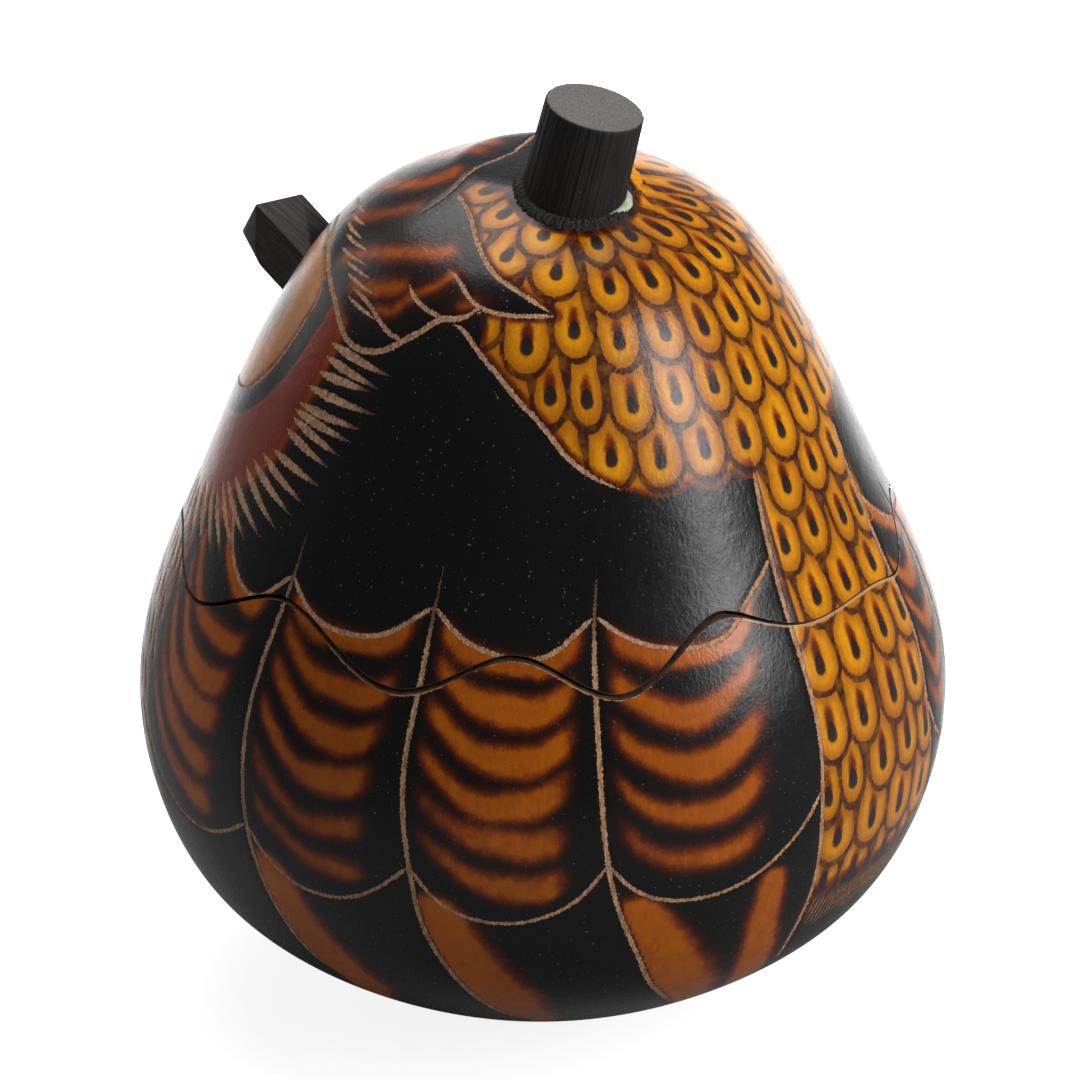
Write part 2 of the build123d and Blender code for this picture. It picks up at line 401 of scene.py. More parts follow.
def burnt_feathers(turn, up, base):
    """How black the skin is among the feathers, from 0 to 1.

    Each feather hangs between two gouged lines. Bars of bare orange sag across it, from one line almost to
    the other, with smoky edges, and tongues of orange lick down below it.
    """
    black = base.copy()
    for start, end, top, bottom, (heights, middle, bend, reach) in feathers:
        low, high = turn_at(start, up), turn_at(end, up)
        across = (turn - low) / (high - low)
        top_line = np.interp(turn, *zip(*sorted(top)))
        bottom_line = np.interp(turn, *zip(*sorted(bottom)))
        out = np.clip(across - middle, -0.55, 0.55)
        level = up - bend * out**2
        bare = np.zeros(len(turn))
        for height in heights:
            sway = 0.45 * np.sin(7 * across + 1.7 * height) + 0.2 * np.sin(17 * across + height)
            half = 2.4 - 0.4 * np.abs(out) + 0.3 * np.sin(5 * across + 2 * height)
            strip = ease(np.abs(level - height - sway), half + 1.9, half - 2.0)
            bar_end = reach - 0.005 * (17 - height)
            strip *= ease(across, bar_end + 0.08, bar_end - 0.1)
            bare = np.maximum(bare, strip * (1 - 0.38 * np.abs(out) - 0.12 * (height < 0)))
        strip = ease(top_line - up, 4.6 + np.sin(9 * across), 2.0) * 0.85 * (across < 0.97)
        bare = np.maximum(bare * ease(top_line - up, 1.5, 4.2), strip)
        bare *= ease(across, 0.0, 0.12) * ease(across, reach + 0.1, reach - 0.04)
        bare *= ease(top_line - up, -0.4, 0.1) * ease(up - bottom_line, 0.9, 2.6)
        glow = 0.5 * ease(up - top_line, 2.0, 0.1) * ease(across, 0.03, 0.12) * ease(across, 0.85, 0.5)
        bare = np.maximum(bare, np.where(up > top_line, glow, 0))
        here = (across > 0) & (across < 1) & (up > bottom_line - 0.5)
        black[here] = np.minimum(black[here], 1 - bare[here])
    widths = [(-46, 3), (-40, 9), (-28, 12.5), (-20, 10.5), (-12, 7.5), (-8, 4), (-5, 0)]
    for shaft, sense in [(line, 1) for line in left_shafts] + [(line, -1) for line in right_shafts[1:]]:
        beyond = (turn - turn_at(shaft, up)) * sense
        width = np.maximum(np.interp(up, *zip(*widths)), 0.01)
        tongue = ease(beyond, -0.1, 0.7) * ease(beyond, 1.25 * width, 0.6 * width) * ease(up, -7.5, -10.5)
        tongue *= (width > 0.5) & (beyond > 0) & (beyond < 16)
        black = np.minimum(black, 1 - 0.9 * tongue * ease(up, -50, -42))
    for middle in (157.4, 203.5):
        lean = np.interp(up, (-40, -28, -18, -8), (4, 1, -0.6, 0))
        width = np.interp(up, (-40, -18, -12, -8), (4.2, 3.0, 2.5, 1.6))
        tongue = ease(np.abs(turn - middle - lean), 1.75 * width, 0.3 * width)
        black = np.minimum(black, 1 - tongue * ease(up, -7.8, -10) * ease(up, -46, -38))
    return black


def inside(polygon, turn, up):
    """Which places lie within a polygon of places, by counting the sides below them."""
    within = np.zeros(len(turn), bool)
    for (x, y), (next_x, next_y) in zip(polygon, polygon[1:] + polygon[:1]):
        if x != next_x:
            crosses = (x > turn) != (next_x > turn)
            within ^= crosses & (up > y + (turn - x) * (next_y - y) / (next_x - x))
    return within


def outside(points, turn, up, polygon):
    """How far each point lies outside a polygon of places, in mm, and below zero inside it."""
    corners = np.array([*polygon, polygon[0]], float)
    quarters = np.arange(4 * len(polygon) + 1) / 4
    path = [np.interp(quarters, range(len(corners)), part) for part in corners.T]
    gap = np.abs(nearest(points, on_skin(np.stack(path, 1)))[0])
    return np.where(inside(polygon, turn, up), -gap, gap)


def gouge_field(points, gouges):
    """Each point's gouge: how far off its middle is, below zero on its left, half its width, and its burn.

    A gouge is widest in the middle and thins out over the given shares of its length. The signed distance
    keeps a thin line even between the mesh's points, so close neighbours go in different groups.
    """
    field = np.tile([9.0, -1.0, 0.0], (len(points), 1))
    for marks, width, start, end, dark in gouges:
        path = on_skin(spline(marks, 6 * len(marks)))
        in_box = np.all((points > path.min(0) - 1.8) & (points < path.max(0) + 1.8), axis=1)
        close = np.flatnonzero(in_box)
        gap, where = nearest(points[close], path)
        taper = np.clip(np.minimum(where / start, (1 - where) / end), 0, 1) ** 0.7
        half = 0.5 * width * taper - 0.3 * (1 - taper) ** 4
        half -= 2 * np.clip(np.abs(gap) - 0.75, 0, 0.8)
        share = where if dark >= 0 else 1 - where
        burn = ease(share, abs(dark) + 0.01, 0.5 * abs(dark))
        drawn = np.stack([gap, half, burn], 1)
        closer = half - np.abs(gap) > field[close, 1] - np.abs(field[close, 0])
        field[close[closer]] = drawn[closer]
    return field


def colour(red, green, blue):
    """A colour given as the eye sees it, from 0 to 255, as the linear light that a shader takes."""
    return (*[(part / 255) ** 2.2 for part in (red, green, blue)], 1.0)


amber = colour(170, 89, 12)
tan_down = colour(160, 104, 52)
band_yellow = colour(213, 142, 12)
bare_foot = colour(164, 110, 66)


def places(piece):
    """A piece's points in mm, their places as round and up, and which of them lie on the outer skin."""
    points = np.empty(3 * len(piece.data.vertices))
    piece.data.vertices.foreach_get("co", points)
    points = points.reshape(-1, 3) / MM
    radius = np.hypot(points[:, 0], points[:, 1])
    rise = points[:, 2] - belly_height
    turn = np.degrees(np.arctan2(points[:, 0], -points[:, 1])) % 360
    up = np.degrees(np.arctan2(rise, radius))
    reach = np.interp(up, skin_up, np.hypot(skin_radius, skin_height - belly_height))
    return points, turn, up, np.abs(np.hypot(radius, rise) - reach) < skin_slack


def carve(piece, on, lumps, gouges, **fields):
    """Sinks the gouges into the skin, raises its low lumps, and leaves the pattern for its material.

    The skin moves square to its own slope.
    """
    points, turn, up, _ = places(piece)
    slope = np.stack([np.interp(up[on], skin_up, part) for part in facing.T], 1)
    depth = np.zeros(on.sum())
    for number, group in enumerate(gouges):
        fields[f"gouge_{number}"] = field = gouge_field(points[on], group)
        depth = np.maximum(depth, ease(field[:, 1] - np.abs(field[:, 0]), -0.3, 0.2))
    points[on] += ring(turn[on], *slope.T) * (lumps - gouge_depth * depth)[:, None]
    piece.data.vertices.foreach_set("co", (points * MM).ravel())
    for name, values in fields.items():
        whole = np.full((len(points), *values.shape[1:]), far_off)
        whole[on] = values
        leave(piece, name, whole)


def leave(piece, name, values):
    """Leaves a value, vector or colour for each point on a piece's mesh, for its material."""
    kinds = {1: ("FLOAT", "value"), 3: ("FLOAT_VECTOR", "vector"), 4: ("FLOAT_COLOR", "color")}
    kind, slot = kinds[values[0].size]
    entry = piece.data.attributes.new(name, kind, "POINT")
    entry.data.foreach_set(slot, values.ravel().astype(np.float32))


def lumpy(points):
    """The lumps of a grown gourd: slow waves, calm near foot and pegs, and a swelling over the left eye."""
    x, y, z = points.T / 25
    wave = np.sin(1.3 * x + 0.9 * y + 1) + np.sin(1.1 * y - 1.4 * z + 2) + np.sin(1.7 * z + 1.2 * x - 0.6)
    swelling = 0.6 * np.exp(-(((x - 0.75) / 0.6) ** 2) - ((z - 3.35) / 0.55) ** 2) * ease(y, -0.3, -0.7)
    return 0.14 * wave * ease(points[:, 2], 84, 70) * ease(points[:, 2], 4, 14) + swelling


def shade(colours, goal, share):
    """Moves colours a share of the way to one goal colour."""
    return colours + (np.array(goal) - colours) * share[:, None]


def side_fields(points, turn, up):
    """The pattern below the head: feathers, breast, scaly band and foot, as fields for each point."""
    turned = (turn + 180) % 360 - 180
    breast = ease(np.abs(turned) - turn_at(breast_left, up), 0.4, -0.6) * ease(up, 37, 34)
    foot = ease(up, -45, -53 + 3 * np.sin(np.radians(3 * turn)))
    base = 1 - 0.7 * breast * (0.75 + 0.25 * np.sin(0.7 * turned) * np.sin(0.9 * up))
    char = burnt_feathers(turn, up, base)
    char = np.minimum(char, 1 - 0.72 * foot)
    edge, eye, smoke = scale_fields(points, band_rows, np.array([0, 0, 400.0]), 3.9, 1.5)
    in_band = between(band_left, band_right, turn, up) & (up < 42)
    stain = shade(np.tile(amber, (len(points), 1)), tan_down, breast)
    stain = shade(shade(stain, bare_foot, foot), band_yellow, in_band)
    char = np.where(in_band, ease(up, -13.5, -19), char)
    char = np.where(in_band, np.maximum(char, 0.5 * ease(smoke, 0.5, -0.5)), char)
    mark = np.where(in_band, edge - outline_width, far_off)
    eye = np.where(in_band, eye, far_off)
    return {"stain": stain, "char": char, "mark": mark, "eye": eye}


def tail_fringe(turn, up):
    """Fine slanting scratches below the band: how far across them each point lies, and their strength."""
    length = 3.4 + 0.8 * np.sin(0.9 * turn)
    strength = ease(up, -17.3, -18.6) * ease(up, -20.6 - length, -20.6 - 0.5 * length)
    strength *= ease(turn - turn_at(band_left, up), 0.6, 1.4)
    strength *= ease(turn_at(band_right, up) - turn, 0.6, 1.4)
    return np.stack([(turn - 0.27 * up) * 0.85, strength, 0 * turn], 1)


class Wire:
    """A value or colour in a material. Arithmetic on it adds Math nodes, and node() adds any other node."""

    def __init__(self, tree, socket=None):
        self.tree = tree
        self.socket = socket

    def node(self, kind, inputs, output=0, **settings):
        """Adds a node with these settings, and a value or a link for each of these sockets."""
        node = self.tree.nodes.new("ShaderNode" + kind)
        for name, setting in settings.items():
            setattr(node, name, setting)
        for name, value in inputs.items():
            if isinstance(value, Wire):
                self.tree.links.new(value.socket, node.inputs[name])
            else:
                node.inputs[name].default_value = value
        return Wire(self.tree, node.outputs[output])

    def math(self, operation, *values):
        return self.node("Math", dict(enumerate(values)), operation=operation)

    def __add__(self, other):
        return self.math("ADD", self, other)

    __radd__ = __add__

    def __sub__(self, other):
        return self.math("SUBTRACT", self, other)

    def __rsub__(self, other):
        return self.math("SUBTRACT", other, self)

    def __mul__(self, other):
        return self.math("MULTIPLY", self, other)

    def larger(self, other):
        return self.math("MAXIMUM", self, other)

    def dot(self, vector):
        return self.node("VectorMath", {0: self, 1: vector}, 1, operation="DOT_PRODUCT")

    def parts(self):
        """The three parts of a vector."""
        return [self.node("SeparateXYZ", {0: self}, part) for part in range(3)]

    def rise(self, low, high):
        """0 where the value is at low, 1 where it is at high, and an even S-shaped rise between."""
        inputs = {"Value": self, "From Min": low, "From Max": high}
        return self.node("MapRange", inputs, interpolation_type="SMOOTHSTEP")

    def blend(self, first, second):
        """A colour that goes from first to second as this value goes from 0 to 1."""
        return self.node("Mix", {0: self, 6: first, 7: second}, 2, data_type="RGBA")

    def here(self):
        """The piece's own coordinates."""
        return self.node("TexCoord", {}, 3)

    def field(self, name, output=2):
        """A field left on the mesh: a value, or a colour where output is 0, or a vector where it is 1."""
        return self.node("Attribute", {}, output, attribute_name=name)

    def noise(self, scale, detail=2.0, stretch=None):
        """Soft noise about 0.5, read at this place, and drawn out along an axis by a small stretch."""
        where = self.node("Mapping", {"Vector": self, "Scale": stretch}) if stretch else self
        return self.node("TexNoise", {"Vector": where, "Scale": scale, "Detail": detail})


def new_material(name, **constants):
    """A material, its shader with these sockets set, and a Wire to build its nodes on."""
    material = bpy.data.materials.new(name)
    material.use_nodes = True
    shader = material.node_tree.nodes["Principled BSDF"]
    for socket, value in constants.items():
        shader.inputs[socket.replace("_", " ")].default_value = value
    return material, shader, Wire(material.node_tree)


def finish(material, shader, base, roughness, height):
    """Links colour and roughness to the shader, and a bump of this height in mm."""
    links = material.node_tree.links
    links.new(base.socket, shader.inputs["Base Color"])
    links.new(roughness.socket, shader.inputs["Roughness"])
    bump = base.node("Bump", {"Strength": 1.0, "Distance": MM, "Height": height})
    links.new(bump.socket, shader.inputs["Normal"])


burnt_skin, shader, wire = new_material("burnt_waxed_skin", IOR=1.33)
here = wire.here()
fray = here.noise(3400, 3.0) - 0.5
fray_wide = here.noise(800, 3.0) - 0.5
fibre = here.noise(2400, 2.0, (1, 1, 0.12)) - 0.5
cloud = here.noise(90, 4.0) - 0.5
grit = here.noise(2600, 3.0)

# Gouges, with a darker middle to the two groups of long ones, and the scratches under the band
cut_in = cut_middle = cut_burn = 0.0
for number in range(4):
    away, half, burn = wire.field(f"gouge_{number}", 1).parts()
    away = away.math("ABSOLUTE", away)
    within = (half - away + fray * 0.62).rise(-0.04, 0.06)
    if number < 2:
        cut_middle = (half * 0.35 - away + fray * 0.4).rise(-0.05, 0.1).larger(cut_middle)
    cut_burn = (within * burn).larger(cut_burn)
    cut_in = within.larger(cut_in)
fringe_across, fringe_on, _ = wire.field("fringe", 1).parts()
scratch = wire.math("SINE", (fringe_across + fray_wide * 0.2) * 7.6)
cut_in = ((scratch + fray * 0.5).rise(0.62, 0.9) * fringe_on).larger(cut_in)

# Outlines and eyes of the scales, and the skin's blackness
mark_edge = wire.field("mark") + fray_wide * 0.7 + fray * 0.2
mark_in = mark_edge.rise(0.1, -0.1)
mark_halo = mark_edge.rise(1.3, -0.1)
eye_in = (wire.field("eye") + fray_wide * 0.3).rise(0.12, -0.12)
char = wire.field("char")
smoked = char + (fray_wide * 0.4 + fray * 0.25 + fibre * 0.08 + cloud * 0.7) * (char * (1 - char) * 4)

# The skin's colours
burn_ramp = [
    (0.0, amber), (0.22, colour(136, 63, 11)), (0.42, colour(94, 41, 13)),
    (0.6, colour(58, 26, 15)), (0.8, colour(31, 20, 17)), (1.0, colour(20, 19, 19)),
]
burnt = wire.node("ValToRGB", {"Fac": smoked})
ramp = burnt.socket.node.color_ramp.elements
ramp.remove(ramp[0])
ramp[0].position, ramp[0].color = burn_ramp[0]
for position, tint in burn_ramp[1:]:
    ramp.new(position).color = tint
stain = wire.field("stain", 0)
mixed = {0: 1.0, 6: stain, 7: colour(206, 186, 150)}
deeper = wire.node("Mix", mixed, 2, data_type="RGBA", blend_type="MULTIPLY")
uneven = (cloud * 1.6 + fray_wide * 0.7 + fibre * 0.9 + fray * 0.6 + 0.5).rise(0.1, 0.9)
base = (uneven * 0.65 + mark_halo * 0.35).blend(stain, deeper)
base = smoked.rise(0.0, 0.35).blend(base, burnt)
base = ((mark_halo - mark_in) * 0.5).blend(base, colour(134, 64, 14))
base = (mark_in * (fray_wide * 0.9 + 0.92)).blend(base, colour(62, 27, 19))
base = (eye_in * 0.95).blend(base, colour(36, 31, 30))
speck = here.noise(2100, 1.0).rise(0.72, 0.77)
base = (speck * smoked * 0.5).blend(base, colour(120, 112, 96))
groove = (fray * 0.3 + fibre * 1.3 + 0.5).rise(0.2, 0.8).blend(colour(138, 98, 70), colour(196, 154, 120))
groove = (cut_middle * 0.3).blend(groove, colour(124, 82, 56))
groove = (cut_burn * 0.85).blend(groove, colour(84, 54, 38))
base = cut_in.blend(base, groove)
lip_in = (wire.field("lip") + fray * 0.5 + fray_wide * 0.5).rise(0.06, -0.04)
base = (lip_in * 0.8).blend(base, colour(184, 140, 100))
rough = 0.22 + cloud * 0.16 + fray_wide * 0.12 + grit * 0.1 + cut_in * 0.5
height = grit * 0.018 - cut_in * (0.12 + fray * 0.1) + cloud * 0.2 + fibre * 0.02
finish(burnt_skin, shader, base, rough, height)

# The sawn edge is bare gourd, but its colour is painted shade: a dark brown for the shade inside the narrow
# gap of the saw cut. A mottle noise varies its tone, roughness and bump.
sawn_edge, shader, wire = new_material("sawn_gourd_edge")
here = wire.here()
edge_mottle = here.noise(700, 4.0)
base = edge_mottle.rise(0.3, 0.8).blend(colour(42, 28, 18), colour(90, 63, 41))
finish(sawn_edge, shader, base, 0.85 + edge_mottle * 0.1, edge_mottle * 0.2)

bare_flesh, shader, wire = new_material("dry_gourd_flesh")
here = wire.here()
fibre = here.noise(900, 5.0)
patch = here.noise(120, 3.0)
base = fibre.rise(0.3, 0.7).blend(colour(168, 122, 78), colour(208, 168, 118))
base = (patch.rise(0.45, 0.7) * 0.5).blend(base, colour(138, 94, 56))
finish(bare_flesh, shader, base, 0.8 + patch * 0.1, fibre * 0.25 + patch * 0.3)


def dress(piece, on, rim):
    """Gives a shell its three materials: flesh, but skin or sawn edge where a face lies wholly on them."""
    piece.data.materials.clear()
    for material in (bare_flesh, burnt_skin, sawn_edge):
        piece.data.materials.append(material)
    corners, firsts = np.empty(len(piece.data.loops), int), np.empty(len(piece.data.polygons), int)
    piece.data.loops.foreach_get("vertex_index", corners)
    piece.data.polygons.foreach_get("loop_start", firsts)
    skin_faces, rim_faces = (np.minimum.reduceat(part[corners].astype(int), firsts) for part in (on, rim))
    piece.data.polygons.foreach_set("material_index", np.where(rim_faces, 2, skin_faces))
    smooth(piece, 58)


def smooth(piece, angle):
    """Shades a piece smooth, except across edges that turn by more than an angle in degrees."""
    piece.data.polygons.foreach_set("use_smooth", [True] * len(piece.data.polygons))
    piece.data.set_sharp_from_angle(angle=radians(angle))


# How far below the saw cut the skin is chipped to a pale lip, at some angles
lip_pale = [
    (0, 0), (86, 0), (90, 0.3), (96, 0.24), (106, 0.34), (112, 0.05), (121, 0.15), (128, 0.34), (134, 0.26),
    (142, 0.04), (154, 0.1), (159, 0.36), (165, 0.3), (169, 0.45), (195, 0.45), (199, 0.15), (230, 0.25),
    (240, 0), (300, 0.2), (330, 0), (360, 0),
]
points, turn, up, skin = places(carved_bowl)
below = seam_height(turn) - seam_gap(turn) / 2 - points[:, 2]
dress(carved_bowl, skin, np.abs(below) < edge_slack)
points, turn, up, below = points[skin], turn[skin], up[skin], below[skin]
lip = below - np.interp(turn, *zip(*lip_pale)) + 0.12
carve(
    carved_bowl,
    skin,
    lumpy(points),
    [long_gouges, arc_gouges[::2], arc_gouges[1::2] + down_strokes[::2], down_strokes[1::2]],
    **side_fields(points, turn, up),
    lip=lip,
    fringe=tail_fringe(turn, up),
)
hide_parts("gourd_bowl")
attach(carved_bowl, "bowl")

# Lid: the upper half of the shell, closed by the same saw cut and drilled for the two pegs. Its face has
# a round eye each side of the beak, with rays and a brow of gouged lines, and a cap of yellow scales
# spreads from the stem down the nape.
lid_edge = seam_height(around) + seam_gap(around) / 2
rings = shell_rings(lid_edge, -1, np.linspace(0, 1, 128)[1:], np.linspace(1, 0, 18)[:-1])[::-1]
carved_lid = closed_mesh("carved_lid", rings, [(0, 0, gourd_height - wall), (0, 0, gourd_height)])

# The two pegs' feet on the skin, the lines they point along, and the holes drilled for them
stem_offset = 9.1
stem_angle = 150
stem_lean = 13.6
stem_lean_angle = 192
stem_foot_radius = 6.25
stem_hole_radius = 6.75
beak_height = 0.794 * gourd_height
beak_rise = 30
beak_hole_radius = 3.6
stem_foot = heading(stem_angle) * stem_offset + (0, 0, np.interp(stem_offset, crown_radius, crown_height))
stem_axis = heading(stem_lean_angle) * sin(radians(stem_lean)) + (0, 0, cos(radians(stem_lean)))
beak_foot = heading(0) * np.interp(beak_height, skin_height, skin_radius) + (0, 0, beak_height)
beak_axis = heading(0) * cos(radians(beak_rise)) + (0, 0, sin(radians(beak_rise)))


def drill(piece, foot, axis, radius):
    """Cuts a round hole through a piece's wall with a Boolean, along an axis through a point on its skin."""
    bpy.ops.mesh.primitive_cylinder_add(
        vertices=96,
        radius=radius * MM,
        depth=30 * MM,
        location=foot * MM,
        rotation=Vector(axis).to_track_quat("Z", "Y").to_euler(),
    )
    bit = bpy.context.object
    cut = piece.modifiers.new("drill", "BOOLEAN")
    cut.solver = "MANIFOLD"
    cut.operation = "DIFFERENCE"
    cut.object = bit
    mesh = bpy.data.meshes.new_from_object(piece.evaluated_get(bpy.context.evaluated_depsgraph_get()))
    piece.modifiers.clear()
    piece.data = mesh
    bpy.data.objects.remove(bit)


drill(carved_lid, stem_foot, stem_axis, stem_hole_radius)
drill(carved_lid, beak_foot, beak_axis, beak_hole_radius)

# Scales of the cap, from the stem down to the nape
cap_rows = [
    [(86.5, 81), (104.5, 78.5), (125, 76), (145.5, 74.3), (160.5, 74.3), (175.5, 73.3), (191.5, 73.3),
     (203.5, 73.8), (216, 74.3), (235.6, 76), (256.1, 78.5), (274.1, 81)],
    [(111.5, 73), (128.5, 71), (144, 68.8), (157.5, 68.5), (173, 68), (186.5, 68.5), (199.5, 68.5),
     (213, 69), (231, 71), (249, 73)],
    [(107.5, 65.3), (120, 63), (132, 64.5), (143, 63), (155.5, 63), (167, 62.3), (178, 62.3),
     (189.8, 62.3), (201.5, 62.5), (213, 62.8), (224.5, 63.5), (236, 64), (247, 63.5), (256, 65)],
    [(125.5, 58), (133.5, 57.5), (143.5, 56.5), (154, 56.5), (164, 56.5), (173.8, 56), (184.3, 56),
     (196, 56), (206.5, 56.3), (217, 56.5), (227, 57.5), (235.3, 58)],
    [(137.5, 51), (147.5, 50), (157.5, 50), (167.5, 49.5), (178, 48.7), (188.3, 49.3), (199.5, 49),
     (210.5, 49.5), (221, 50.5)],
]

# Lines on the owl's left, which its right repeats
crown_line = [(0, 86.7), (23.1, 86), (40.6, 84.7), (54, 82.5), (61, 80.5), (64, 77.9), (63.6, 74.8)]
tuft_top = [(69, 79.1), (74, 78.9), (79.8, 78.4), (91.5, 76.4), (97.8, 74.3), (100.9, 73.2), (108.5, 70.5),
            (116.5, 68.7), (127.5, 66)]
tuft_under = [(127.5, 66), (116.5, 66), (108.8, 66.3), (104.5, 67), (98.5, 69), (93.5, 70.3)]
tuft_lower = [(82.6, 67.6), (87.2, 66.2), (91.9, 65.4), (96.7, 64.9)]
brow_hook = [(64.2, 64.7), (75.4, 63.7), (80.3, 62.7), (84.5, 62), (87.9, 61.8)]
brow = [
    (0, 57), (3, 59.5), (10, 62.5), (13.9, 64.4), (20, 65.8), (26.6, 66.3), (39.4, 65.5), (46.9, 64.8),
    (54.6, 63.7), (62.4, 62.3), (67.6, 60.9), (71.3, 60), (75.1, 59.5), (79.4, 59.6), (84.7, 60.4),
    (88.1, 61.6), (92.3, 63), (96.9, 64.7), (100.9, 65), (106.8, 66.4),
]
cap_edge = [
    (100, 64.5), (103.5, 64), (108.5, 62), (113.5, 60), (118.5, 57.5), (123.5, 55), (128.5, 51.5),
    (133.5, 49), (140, 46.8),
]
brow_ticks = [
    [(23.2, 69.1), (36.7, 70.3)], [(34.3, 69.1), (45.8, 69.9)], [(39, 68.4), (51.2, 68.9)],
    [(45.8, 67.9), (58.3, 68.4)], [(50.4, 66.8), (63.2, 67.2)], [(56.8, 66.3), (68.4, 66.3)],
    [(61.8, 65.4), (72.4, 65.1)], [(67.5, 63.5), (72.3, 63.1), (76.9, 62.9)],
]
rays = [
    [(70.1, 58.7), (89.2, 57.9)], [(69.9, 57.2), (86.8, 56.3)], [(69.7, 55.5), (84.7, 55.8)],
    [(68.8, 53.5), (88, 53.6)], [(68.1, 51.3), (85.7, 51.5)], [(67.3, 50.3), (84.4, 49.7)],
    [(67.7, 49.2), (82.1, 47.7)], [(66.7, 47.6), (80.2, 45.8)], [(65.2, 44.5), (79.3, 43.3)],
    [(62.2, 43), (77.2, 40.2)], [(60.3, 41.3), (75.1, 38)], [(58.2, 39.7), (72.4, 35.2)],
    [(55.3, 37.4), (69.1, 33)], [(53, 35.9), (65.1, 31.4)], [(50.9, 34.9), (63.2, 28.5)],
    [(49.8, 33.3), (59.6, 27)], [(46.9, 32.4), (56.5, 25.7)], [(42.7, 31.3), (52.1, 25)],
    [(38.9, 29.3), (46, 24.3)], [(35, 29.4), (39.5, 23.6)], [(31.5, 29.2), (34, 23.4)],
    [(27.5, 29.6), (28, 23.6)], [(23.5, 30.6), (22.3, 24.8)], [(20, 32), (17, 26.6)],
    [(16.8, 34.2), (12.2, 29.2)], [(14.2, 36.8), (8.4, 32.4)], [(12.2, 39.4), (5.8, 36)],
    [(10.8, 42), (4.4, 39.6)], [(9.8, 44.6), (4, 43)],
]
iris = [
    (50.7, 63.9), (52.9, 62.8), (54.9, 61.2), (54.8, 59.4), (54, 56.6), (52.4, 53.9), (49.3, 50.8),
    (43.6, 47.5), (37.5, 45.8), (31.1, 44.8), (25.3, 44.6), (18.5, 47), (14, 51.5), (12.2, 56), (14.5, 60.5),
    (20, 63.8), (30, 65.2), (45, 64.8),
]
pupil = [
    (33.1, 61.1), (36.9, 60.1), (40.6, 58.6), (41.7, 55.9), (40.1, 53.6), (34.8, 51.1), (29, 49.8),
    (24.6, 51.2), (22.4, 54.4), (22.6, 58), (26.5, 60.6),
]
eye_field = [
    (68.5, 61), (69, 58), (68, 53), (67.3, 49), (64.5, 44.5), (59.5, 39.8), (53.5, 36.2), (48, 33.6),
    (40, 30.8), (30, 30.4), (22.5, 32), (16.5, 35.6), (12.5, 40), (10, 45), (7, 51), (5.5, 56), (8, 61.5),
    (20, 65.8), (40, 65.5), (54.6, 63.7), (62.4, 62.3),
]
streaks = [
    ([(2, 73), (5.9, 78.8), (8.7, 82.6)], 1.6),
    ([(19.1, 71.4), (29.7, 74.7), (40.5, 77.7), (46.2, 80.4)], 1.5),
    ([(35.5, 69), (47.6, 72.1), (57.1, 75.1)], 1.1),
    ([(53.4, 66.4), (63.5, 68.7), (76.7, 70.6), (89.5, 72.1)], 1.0),
    ([(65.2, 64.9), (72.8, 65.5), (80.9, 66.8)], 1.0),
    ([(77.8, 63.8), (82.4, 64.2), (85.9, 66.3)], 0.7),
    ([(85.9, 66.3), (91.1, 67.7), (95.3, 69.5)], 0.6),
    ([(101.7, 66.3), (104.7, 66.8)], 0.6),
]


def both_sides(gouges):
    """The same gouges again on the owl's right."""
    return gouges + [([(-turn, up) for turn, up in marks], *rest) for marks, *rest in gouges]


face_lines = both_sides(
    [(crown_line, 0.42, 0.05, 0.05, 0), (tuft_under, 0.55, 0.1, 0.15, 0), (brow, 0.78, 0.02, 0.05, 0)]
)
face_arcs = both_sides(
    [
        (tuft_top, 0.62, 0.05, 0.12, 0), (tuft_lower, 0.6, 0.25, 0.05, 0), (brow_hook, 0.55, 0.3, 0.05, 0),
        (cap_edge, 0.62, 0.1, 0.2, 0), ([*iris, iris[0]], 0.4, 0.01, 0.01, 0),
    ]
)


def drawn_out(marks, before, after):
    """The two ends of a line, moved apart by shares of its length."""
    start, end = np.array([marks[0], marks[-1]])
    return [tuple(start + (start - end) * before), tuple(end + (end - start) * after)]


face_strokes = [(drawn_out(tick, 0.3, 0.25), 0.5, 0.3, 0.4, 0) for tick in brow_ticks]
face_strokes += [(drawn_out(ray, 0.16, 0), 1.4, 0.35, 0.75, -0.3) for ray in rays]

cap_side = [
    (113, 90), (108, 81.4), (97, 82.2), (76, 82.3), (66, 80.8), *tuft_top, *tuft_under[1:3],
    (107.5, 66.7), *cap_edge[2:],
]
yellow = cap_side + [
    (145, 45.2), (152, 45.4), (159, 44.6), (166.5, 44.8), (166.3, 40), (166, 30), (197, 30), (197.4, 40),
    (198, 44.8), (206, 44.6), (214, 45.3),
]
yellow += [(360 - turn, up) for turn, up in cap_side[::-1]]


